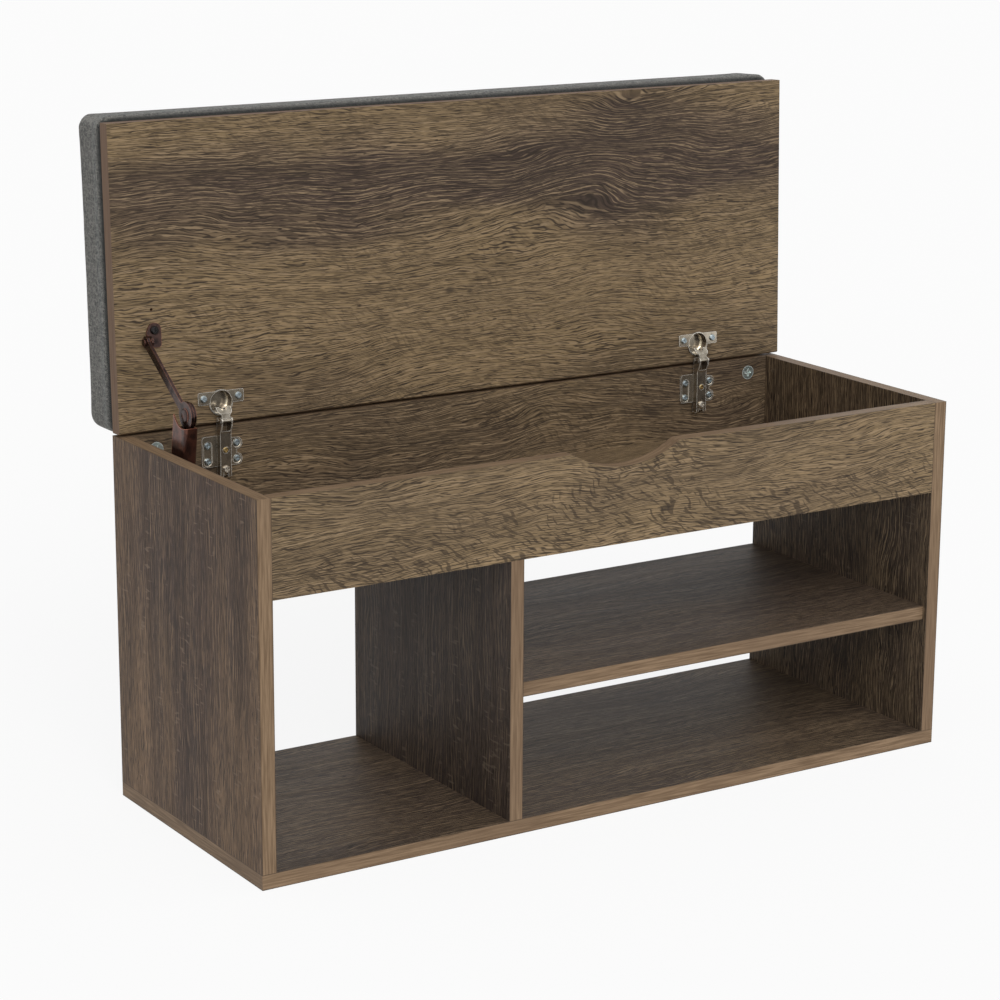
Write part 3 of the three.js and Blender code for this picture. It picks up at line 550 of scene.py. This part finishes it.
# The pad of the seat, blown up as cloth and held at its foot.
cushionLook = {
    "corner": 12 * millimetre,
    "cornerSteps": 6,
    "smallestCorner": 3 * millimetre,
    "underEase": 5 * millimetre,
    "overEase": 6 * millimetre,
    "startInside": 1.5 * millimetre,
    "frontLip": 3.5 * millimetre,
    "voxel": 5 * millimetre,
    "heldUpTo": 3 * millimetre,
    "heldFade": 12 * millimetre,
    "pressure": 3.5,
    "stretchStiffness": 25,
    "bendStiffness": 2.0,
    "clothQuality": 6,
    "clothFrames": 20,
    "crown": 8 * millimetre,
    "sinkLimit": 1.3 * millimetre,
    "smoothPasses": 4,
    "fill": 0.85,
}
lidJoint = next(joint for joint in frame["joints"] if joint["name"] == "lid_hinge")
lidPivot = Vector(lidJoint["pos_m"])
shutTurn = Matrix.Rotation(math.radians(lidJoint["range_deg"][1]), 4, "X")
shutLid = Matrix.Translation(lidPivot) @ shutTurn @ Matrix.Translation(-lidPivot)
openLid = shutLid.inverted()


def shutBox(name):
    corners = [shutLid @ vertex.co for vertex in nodes[name].data.vertices]
    low = Vector(min(corner[axis] for corner in corners) for axis in range(3))
    high = Vector(max(corner[axis] for corner in corners) for axis in range(3))
    return low, high


def padOutline(low, high, inset, corner, steps):
    points = []
    for centreX, centreY, start in (
        (high.x - inset - corner, high.y - inset - corner, 0),
        (low.x + inset + corner, high.y - inset - corner, 90),
        (low.x + inset + corner, low.y + inset + corner, 180),
        (high.x - inset - corner, low.y + inset + corner, 270),
    ):
        for step in range(steps + 1):
            angle = math.radians(start + 90 * step / steps)
            points.append((centreX + corner * math.cos(angle), centreY + corner * math.sin(angle)))
    return points


def padShape(low, high, look):
    mesh = bmesh.new()
    inside = look["startInside"]
    under, over = look["underEase"], look["overEase"]
    # The height of each outline from the underside up, and how far its edges are eased inwards.
    levels = [
        (low.z, under),
        (low.z + under * 0.35, under * 0.45),
        (low.z + under * 1.2, 0.0),
        (high.z - inside - over, 0.0),
        (high.z - inside - over * 0.3, over * 0.3),
        (high.z - inside, over),
    ]
    rings = []
    for height, ease in levels:
        corner = max(look["corner"] - ease * 0.5, look["smallestCorner"])
        outline = padOutline(low, high, inside + ease, corner, look["cornerSteps"])
        rings.append([mesh.verts.new((x, y, height)) for x, y in outline])
    for lower, upper in zip(rings, rings[1:]):
        for index in range(len(lower)):
            following = (index + 1) % len(lower)
            mesh.faces.new((lower[index], lower[following], upper[following], upper[index]))
    mesh.faces.new(list(reversed(rings[0])))
    mesh.faces.new(rings[-1])
    bmesh.ops.recalc_face_normals(mesh, faces=mesh.faces)
    made = bpy.data.meshes.new("cushion")
    mesh.to_mesh(made)
    mesh.free()
    return made


def applyModifiers(thing):
    graph = bpy.context.evaluated_depsgraph_get()
    result = bpy.data.meshes.new_from_object(thing.evaluated_get(graph))
    thing.modifiers.clear()
    thing.data = result


def runCloth(thing, start, foot, look):
    held = thing.vertex_groups.new(name="held")
    for index, place in enumerate(start):
        aboveHeld = place.z - foot - look["heldUpTo"]
        hold = 1.0 - min(max(aboveHeld / look["heldFade"], 0.0), 1.0)
        if hold > 0:
            held.add([index], hold, "REPLACE")
    cloth = thing.modifiers.new("cloth", "CLOTH")
    cloth.settings.use_pressure = True
    cloth.settings.uniform_pressure_force = look["pressure"]
    cloth.settings.effector_weights.gravity = 0.0
    cloth.settings.vertex_group_mass = "held"
    cloth.settings.tension_stiffness = look["stretchStiffness"]
    cloth.settings.compression_stiffness = look["stretchStiffness"]
    cloth.settings.bending_stiffness = look["bendStiffness"]
    cloth.settings.quality = look["clothQuality"]
    cloth.point_cache.frame_start = 1
    cloth.point_cache.frame_end = look["clothFrames"]
    for frameNumber in range(1, look["clothFrames"] + 1):
        scene.frame_set(frameNumber)
    graph = bpy.context.evaluated_depsgraph_get()
    swollen = thing.evaluated_get(graph)
    moved = [vertex.co.copy() for vertex in swollen.to_mesh().vertices]
    swollen.to_mesh_clear()
    thing.modifiers.clear()
    scene.frame_set(1)
    return moved


padLow, padHigh = shutBox("cushion_cover")
padStart = padLow - Vector((0.0, cushionLook["frontLip"], 0.0))
cushion = bpy.data.objects.new("seat_cushion", padShape(padStart, padHigh, cushionLook))
scene.collection.objects.link(cushion)
remesh = cushion.modifiers.new("remesh", "REMESH")
remesh.mode = "VOXEL"
remesh.voxel_size = cushionLook["voxel"]
applyModifiers(cushion)
rest = [vertex.co.copy() for vertex in cushion.data.vertices]
print("cushion remeshed", len(rest))

moved = runCloth(cushion, rest, padLow.z, cushionLook)
reached = max((end - start).length for start, end in zip(rest, moved))
share = min(1.0, cushionLook["crown"] / reached)
middle = (padLow + padHigh) / 2
sinkLimit = cushionLook["sinkLimit"]
for vertex, start, end in zip(cushion.data.vertices, rest, moved):
    shift = (end - start) * share
    # The tight cover hardly lets the sides pull in.
    for axis in (0, 1):
        outward = 1.0 if start[axis] > middle[axis] else -1.0
        if -shift[axis] * outward > sinkLimit:
            shift[axis] = -sinkLimit * outward
    vertex.co = start + shift
print("cushion swelled by", round(reached / millimetre, 1), "mm, kept", round(share, 2))
smoothing = cushion.modifiers.new("smoothing", "SMOOTH")
smoothing.factor = 0.5
smoothing.iterations = cushionLook["smoothPasses"]
finer = cushion.modifiers.new("finer", "SUBSURF")
finer.levels = 1
finer.render_levels = 1
applyModifiers(cushion)
# The pad is shaped on the shut lid, and goes back to the open one.
cushion.data.transform(openLid)
cushion.data.polygons.foreach_set("use_smooth", [True] * len(cushion.data.polygons))
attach(cushion, "lid")
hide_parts("cushion_cover", "cushion_foam")
print("cushion made")

linenLook = {
    "threadPitch": 1.9 * millimetre,
    "threadDrift": 2.2 * millimetre,
    "slubAlong": 90.0,
    "slubAcross": 460.0,
    "dark": (0.022, 0.023, 0.021, 1.0),
    "pale": (0.315, 0.302, 0.268, 1.0),
    # The hollow colour is painted shade in the hollows between the threads.
    "hollow": (0.024, 0.026, 0.025, 1.0),
    "cloud": (0.105, 0.098, 0.088, 1.0),
    # The roll colour is a painted highlight on the fold under the pad, and the crease colour is painted
    # shade in the crease beside it.
    "roll": (0.205, 0.225, 0.222, 1.0),
    "creaseShade": (0.010, 0.011, 0.011, 1.0),
    "creaseOnSides": (1.5 * millimetre, 5.5 * millimetre),
    "creaseAtEnds": (4.0 * millimetre, 9.5 * millimetre),
    "rollFull": (11.0 * millimetre, 13.0 * millimetre),
    "rollGone": 21.0 * millimetre,
    "roughness": (0.95, 0.82),
    "specular": 0.2,
    "sheen": 0.25,
    "sheenRoughness": 0.5,
    "bumpDepth": 0.35 * millimetre,
    "bumpStrength": 0.9,
}
plyLook = {
    "dark": (0.36, 0.24, 0.13, 1.0),
    "pale": (0.52, 0.38, 0.22, 1.0),
    "alongScale": 12.0,
    "throughScale": 180.0,
    "roughness": (0.8, 0.65),
}


# Each thread's height is a rounded ridge, and the over and under swaps from crossing to crossing.
def makeWeave(look):
    weave, given, result = makeGroup(
        "linenWeave",
        [("Place", "Vector"), ("Facing", "Vector"), ("Rise", "Float")],
        [("Color", "Color"), ("Height", "Float"), ("Roughness", "Float")],
    )
    wobble = weave.noise(given["Place"], scale=55.0, detail=2)
    drift = weave.math("MULTIPLY", weave.math("SUBTRACT", wobble, 0.5), look["threadDrift"])
    axes = weave.split(given["Place"])
    threads = 2 * math.pi / look["threadPitch"]
    phases = [weave.math("MULTIPLY", weave.math("ADD", axis, drift), threads) for axis in axes]
    waves = [weave.math("SINE", phase) for phase in phases]
    slubs = []
    for index in range(3):
        scales = [look["slubAlong"]] * 3
        scales[index] = look["slubAcross"]
        place = weave.combine(*(weave.math("MULTIPLY", axis, scale) for axis, scale in zip(axes, scales)))
        slubs.append(weave.noise(place, detail=2, roughness=0.6))
    facing = weave.split(weave.vector("ABSOLUTE", given["Facing"]))
    height = 0.0
    slub = 0.0
    for index in range(3):
        first, second = [other for other in range(3) if other != index]
        weight = weave.step(facing[index], 0.5, 0.8)
        crossing = weave.math("MULTIPLY", waves[first], waves[second])
        height = weave.math("MULTIPLY_ADD", crossing, weight, height)
        thicker = weave.math("MAXIMUM", slubs[first], slubs[second])
        slub = weave.math("MULTIPLY_ADD", thicker, weight, slub)
    speckle = weave.noise(given["Place"], scale=430.0, detail=2, roughness=0.7)
    specks = weave.step(speckle, 0.42, 0.58)
    mottle = weave.math("MULTIPLY_ADD", specks, 0.5, weave.step(slub, 0.48, 0.62, 0.0, 0.5))
    cloud = weave.noise(given["Place"], scale=9.0, detail=2)
    tone = weave.mix(mottle, look["dark"], look["pale"])
    # Painted shade in the hollows between the threads.
    tone = weave.mix(weave.step(height, -0.8, 0.6, 0.62, 0.0), tone, look["hollow"])
    tone = weave.mix(weave.step(cloud, 0.35, 0.7, 0.0, 0.25), tone, look["cloud"])
    # The cover folds under the pad: a painted highlight on the roll beside painted shade in the crease.
    atEnds = weave.step(facing[0], 0.4, 0.8)
    creaseLow, creaseHigh = [
        weave.between(atEnds, onSides, onEnds)
        for onSides, onEnds in zip(look["creaseOnSides"], look["creaseAtEnds"])
    ]
    rollLow, rollHigh = look["rollFull"]
    rollStart = weave.step(given["Rise"], creaseHigh, rollLow)
    rollEnd = weave.step(given["Rise"], rollHigh, look["rollGone"], 1.0, 0.0)
    roll = weave.math("MULTIPLY", rollStart, rollEnd)
    tone = weave.mix(weave.math("MULTIPLY", roll, 0.24), tone, look["roll"])
    # Painted shade in the crease at the pad's foot.
    creaseShade = weave.step(given["Rise"], creaseLow, creaseHigh, 0.88, 0.0)
    tone = weave.mix(creaseShade, tone, look["creaseShade"])
    weave.feed(result["Color"], tone)
    weave.feed(result["Height"], weave.math("MULTIPLY_ADD", mottle, 0.6, height))
    weave.feed(result["Roughness"], weave.between(mottle, *look["roughness"]))
    return weave.tree


def makeLinen(look):
    weaveGroup = makeWeave(look)
    linen, wiring, shader = makeMaterial("linen")
    coordinates = wiring.node("ShaderNodeTexCoord").outputs
    # The height above the pad's foot, along the way the pad faces while the lid is open.
    padUp = openLid.to_3x3() @ Vector((0.0, 0.0, 1.0))
    foot = (openLid @ padLow).dot(padUp)
    upward = wiring.vector("DOT_PRODUCT", coordinates["Object"], tuple(padUp))
    cloth = wiring.group(
        weaveGroup,
        Place=coordinates["Object"],
        Facing=coordinates["Normal"],
        Rise=wiring.math("SUBTRACT", upward, foot),
    )
    wiring.feed(shader["Base Color"], cloth["Color"])
    wiring.feed(shader["Roughness"], cloth["Roughness"])
    shader["Specular IOR Level"].default_value = look["specular"]
    shader["Sheen Weight"].default_value = look["sheen"]
    shader["Sheen Roughness"].default_value = look["sheenRoughness"]
    wiring.feed(shader["Normal"], wiring.bump(cloth["Height"], look["bumpDepth"], look["bumpStrength"]))
    return linen


def makePly(look):
    ply, wiring, shader = makeMaterial("ply")
    x, y, z = wiring.split(wiring.node("ShaderNodeTexCoord").outputs["Object"])
    along = wiring.math("MULTIPLY", x, look["alongScale"])
    grain = wiring.noise(
        wiring.combine(along, y, wiring.math("MULTIPLY", z, look["throughScale"])),
        detail=3,
    )
    wiring.feed(shader["Base Color"], wiring.mix(grain, look["dark"], look["pale"]))
    wiring.feed(shader["Roughness"], wiring.between(grain, *look["roughness"]))
    return ply


dress(cushion, makeLinen(linenLook))
dress(nodes["cushion_base_board"], makePly(plyLook))
print("cushion dressed")


# Plated or lacquered steel, with a painted highlight on its edges that a cloud noise breaks up.
def makeMetalSurface():
    metal, given, result = makeGroup(
        "metalSurface",
        [
            ("Place", "Vector"),
            ("Bright", "Color"),
            ("Dark", "Color"),
            ("Edge", "Color"),
            ("Edges", "Float"),
        ],
        [("Color", "Color"), ("Height", "Float"), ("Wear", "Float"), ("HighlightMask", "Float")],
    )
    cloud = metal.noise(given["Place"], scale=140.0, detail=3)
    fine = metal.noise(given["Place"], scale=700.0, detail=2)
    tone = metal.mix(metal.step(cloud, 0.35, 0.68), given["Bright"], given["Dark"])
    # The edges get a painted highlight, broken up by the cloud noise.
    edgeHighlight = metal.math("MULTIPLY_ADD", metal.math("SUBTRACT", cloud, 0.5), 0.25, given["Edges"])
    edgeHighlight = metal.step(edgeHighlight, 0.15, 0.70)
    metal.feed(result["Color"], metal.mix(edgeHighlight, tone, given["Edge"]))
    metal.feed(result["HighlightMask"], edgeHighlight)
    metal.feed(result["Height"], fine)
    halfCloud = metal.math("MULTIPLY", cloud, 0.5)
    metal.feed(result["Wear"], metal.math("MULTIPLY_ADD", fine, 0.5, halfCloud))
    return metal.tree


# Insets from the hinge cup's bounds for the painted shade on the wall and the painted highlight at the
# foot, each from where it starts to where it is full.
bowlShape = {
    "mouth": (1.6 * millimetre, 3.0 * millimetre),
    "wall": (2.2 * millimetre, 1.4 * millimetre),
    "foot": (4.0 * millimetre, 2.4 * millimetre),
    "ring": (4.2 * millimetre, 2.6 * millimetre),
}


# Inside a hinge cup the drawn wall gets painted shade, and the curve at its foot gets a painted highlight.
def shadeBowl(wiring, place, colour, bowl):
    low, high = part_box("hinge_cup_right")
    radius = (high[2] - low[2]) / 2
    x, y, z = wiring.split(place)
    sideways = wiring.math("SUBTRACT", wiring.math("ABSOLUTE", x), (low[0] + high[0]) / 2)
    upward = wiring.math("SUBTRACT", z, (low[2] + high[2]) / 2)
    reach = wiring.vector("LENGTH", wiring.combine(sideways, upward, 0.0))
    inside = wiring.step(y, *(low[1] + inset for inset in bowlShape["mouth"]))
    wall = wiring.step(reach, *(radius - inset for inset in bowlShape["wall"]))
    colour = wiring.mix(wiring.math("MULTIPLY", inside, wall), colour, bowl["wall"])
    foot = wiring.step(y, *(high[1] - inset for inset in bowlShape["foot"]))
    ring = wiring.step(reach, *(radius - inset for inset in bowlShape["ring"]))
    return wiring.mix(wiring.math("MULTIPLY", foot, ring), colour, bowl["foot"])


def makeMetal(name, look):
    material, wiring, shader = makeMaterial(name)
    place = wiring.node("ShaderNodeTexCoord").outputs["Object"]
    # The bevel normal turns away from the true one only close to an edge.
    eased = wiring.node("ShaderNodeBevel", samples=8)
    eased.inputs["Radius"].default_value = look["edgeWidth"] * millimetre
    plain = wiring.node("ShaderNodeNewGeometry").outputs["Normal"]
    alike = wiring.vector("DOT_PRODUCT", eased.outputs["Normal"], plain)
    # This edge mask places the painted highlight on the edges.
    edges = wiring.step(alike, 0.80, 0.995, 1.0, 0.0)
    surface = wiring.group(
        metalGroup,
        Place=place,
        Bright=look["bright"],
        Dark=look["dark"],
        Edge=look["edge"],
        Edges=edges,
    )
    colour = surface["Color"]
    if "bowl" in look:
        colour = shadeBowl(wiring, place, colour, look["bowl"])
    wiring.feed(shader["Base Color"], colour)
    shader["Metallic"].default_value = look["metallic"]
    # The painted edge highlight is less metallic, so its pale colour shows lit.
    if "highlightMetallic" in look:
        metallic = wiring.between(surface["HighlightMask"], look["metallic"], look["highlightMetallic"])
        wiring.feed(shader["Metallic"], metallic)
    smooth, rough = look["roughness"]
    wiring.feed(shader["Roughness"], wiring.step(surface["Wear"], 0.3, 0.7, smooth, rough))
    wiring.feed(shader["Normal"], wiring.bump(surface["Height"], 0.01 * millimetre, 0.1))
    return material


metalGroup = makeMetalSurface()
# Hinges in nickel, screws and cams in zinc, the stay in lacquered copper.
# The pale edge colour is a painted highlight on the edges of the nickel.
nickelEdge = {"edge": (0.98, 0.94, 0.86, 1.0), "highlightMetallic": 0.35}
metalLooks = {
    "nickel": {
        "bright": (0.56, 0.50, 0.41, 1.0), "dark": (0.38, 0.335, 0.265, 1.0), "metallic": 0.88,
        "roughness": (0.16, 0.28), "edgeWidth": 1.0, **nickelEdge,
    },
    # A darker copy of the nickel for the hinge arms: painted shade, as the arms face forward and down.
    "shaded_nickel_arm": {
        "bright": (0.42, 0.37, 0.30, 1.0), "dark": (0.27, 0.235, 0.19, 1.0), "metallic": 0.88,
        "roughness": (0.16, 0.28), "edgeWidth": 1.0, **nickelEdge,
    },
    "nickel_link": {
        "bright": (0.34, 0.305, 0.25, 1.0), "dark": (0.22, 0.195, 0.155, 1.0), "metallic": 0.90,
        "roughness": (0.16, 0.28), "edgeWidth": 0.9, **nickelEdge,
    },
    "nickel_cup": {
        "bright": (0.50, 0.445, 0.36, 1.0), "dark": (0.35, 0.31, 0.245, 1.0), "metallic": 0.86,
        "roughness": (0.14, 0.24), "edgeWidth": 0.9, **nickelEdge,
        # Painted shade on the cup's wall and a painted highlight at its foot.
        "bowl": {"wall": (0.13, 0.105, 0.080, 1.0), "foot": (0.82, 0.76, 0.64, 1.0)},
    },
    "zinc": {
        "bright": (0.44, 0.51, 0.54, 1.0), "dark": (0.24, 0.29, 0.32, 1.0), "metallic": 1.0,
        "edge": (0.80, 0.88, 0.90, 1.0), "roughness": (0.22, 0.40), "edgeWidth": 0.6,
        "highlightMetallic": 0.5,
    },
    "cast_zinc": {
        "bright": (0.66, 0.75, 0.72, 1.0), "dark": (0.34, 0.42, 0.41, 1.0), "metallic": 0.9,
        "edge": (0.92, 0.98, 0.96, 1.0), "roughness": (0.26, 0.46), "edgeWidth": 1.5,
        "highlightMetallic": 0.3,
    },
    "gold_zinc": {
        "bright": (0.74, 0.58, 0.28, 1.0), "dark": (0.50, 0.38, 0.20, 1.0), "metallic": 1.0,
        "edge": (0.90, 0.78, 0.50, 1.0), "roughness": (0.20, 0.38), "edgeWidth": 0.4,
    },
    "antique_copper": {
        "bright": (0.130, 0.052, 0.036, 1.0), "dark": (0.046, 0.022, 0.018, 1.0), "metallic": 0.72,
        "edge": (0.56, 0.22, 0.14, 1.0), "roughness": (0.14, 0.24), "edgeWidth": 1.1,
        "highlightMetallic": 0.5,
    },
    "dark_copper": {
        "bright": (0.072, 0.042, 0.036, 1.0), "dark": (0.027, 0.018, 0.017, 1.0), "metallic": 0.88,
        "edge": (0.34, 0.145, 0.10, 1.0), "roughness": (0.16, 0.30), "edgeWidth": 0.7,
    },
    "black_zinc": {
        "bright": (0.030, 0.028, 0.028, 1.0), "dark": (0.014, 0.013, 0.013, 1.0), "metallic": 1.0,
        "edge": (0.12, 0.11, 0.11, 1.0), "roughness": (0.25, 0.45), "edgeWidth": 0.4,
    },
}
# The first start that fits a node's name gives its metal.
metalOf = {
    "hinge_adjusting": "gold_zinc",
    "plate_screw": "zinc",
    "cup_screw": "zinc",
    "cam_bolt": "zinc",
    "cam_": "cast_zinc",
    "hinge_cup": "nickel_cup",
    "hinge_arm": "shaded_nickel_arm",
    "hinge_outer": "nickel_link",
    "hinge_inner": "nickel_link",
    "hinge_": "nickel",
    "stay_side_screw": "black_zinc",
    "stay_lid_screw": "black_zinc",
    "stay_damper": "black_zinc",
    "stay_housing": "antique_copper",
    "stay_": "dark_copper",
}
metalEdge = {"hinge": 0.4 * millimetre, "other": 0.25 * millimetre, "angle": 35}
metals = {name: makeMetal(name, look) for name, look in metalLooks.items()}
for nodeName, node in nodes.items():
    kind = next((metal for start, metal in metalOf.items() if nodeName.startswith(start)), None)
    if kind is None:
        continue
    dress(node, metals[kind])
    width = metalEdge["hinge" if nodeName.startswith("hinge_") else "other"]
    bevel(node, "softened", width, metalEdge["angle"])
print("metals dressed")

# A white studio: a soft sky, two wide suns and a pale floor.
skyLook = {"light": 0.42, "seen": 1.0}
suns = {
    "key": {"from": (-0.28, -1.0, 0.75), "strength": 1.85, "angle": 45},
    "fill": {"from": (0.9, -0.8, 0.7), "strength": 0.35, "angle": 70},
}
floorLook = {"reach": 30.0, "drop": 0.5 * millimetre, "paper": (0.90, 0.90, 0.90, 1.0), "whitened": 0.88}
white = (1.0, 1.0, 1.0, 1.0)


# 1 for what the camera sees, straight or in a reflection, and 0 for the light that falls on things.
def seenRays(wiring):
    rays = wiring.node("ShaderNodeLightPath").outputs
    seen = wiring.math("MAXIMUM", rays["Is Camera Ray"], rays["Is Glossy Ray"])
    return wiring.math("MAXIMUM", seen, rays["Is Transmission Ray"])


world = bpy.data.worlds.new("studio")
scene.world = world
world.use_nodes = True
world.node_tree.nodes.clear()
sky = Wiring(world.node_tree)
seen = seenRays(sky)
background = sky.node("ShaderNodeBackground")
background.inputs["Color"].default_value = white
sky.feed(background.inputs["Strength"], sky.between(seen, skyLook["light"], skyLook["seen"]))
skyOut = sky.node("ShaderNodeOutputWorld")
sky.feed(skyOut.inputs[0], background.outputs[0])

for sunName, sunLook in suns.items():
    sunData = bpy.data.lights.new(sunName, "SUN")
    sunData.energy = sunLook["strength"]
    sunData.angle = math.radians(sunLook["angle"])
    sun = bpy.data.objects.new(sunName, sunData)
    scene.collection.objects.link(sun)
    sun.rotation_euler = Vector(sunLook["from"]).to_track_quat("Z", "Y").to_euler()

floorMesh = bpy.data.meshes.new("floor")
reach = floorLook["reach"]
floorMesh.from_pydata(
    [(-reach, -reach, 0), (reach, -reach, 0), (reach, reach, 0), (-reach, reach, 0)],
    [],
    [(0, 1, 2, 3)],
)
floor = bpy.data.objects.new("floor", floorMesh)
scene.collection.objects.link(floor)
floor.location.z = -floorLook["drop"]
floorMaterial = bpy.data.materials.new("floor")
floorMaterial.use_nodes = True
floorMaterial.node_tree.nodes.clear()
ground = Wiring(floorMaterial.node_tree)
seen = seenRays(ground)
paper = ground.node("ShaderNodeBsdfDiffuse")
paper.inputs["Color"].default_value = floorLook["paper"]
glow = ground.node("ShaderNodeEmission")
glow.inputs["Color"].default_value = white
blend = ground.node("ShaderNodeMixShader")
ground.feed(blend.inputs[0], ground.math("MULTIPLY", seen, floorLook["whitened"]))
ground.feed(blend.inputs[1], paper.outputs[0])
ground.feed(blend.inputs[2], glow.outputs[0])
groundOut = ground.node("ShaderNodeOutputMaterial")
ground.feed(groundOut.inputs[0], blend.outputs[0])
dress(floor, floorMaterial)
scene.view_settings.view_transform = "Standard"
print("studio made")
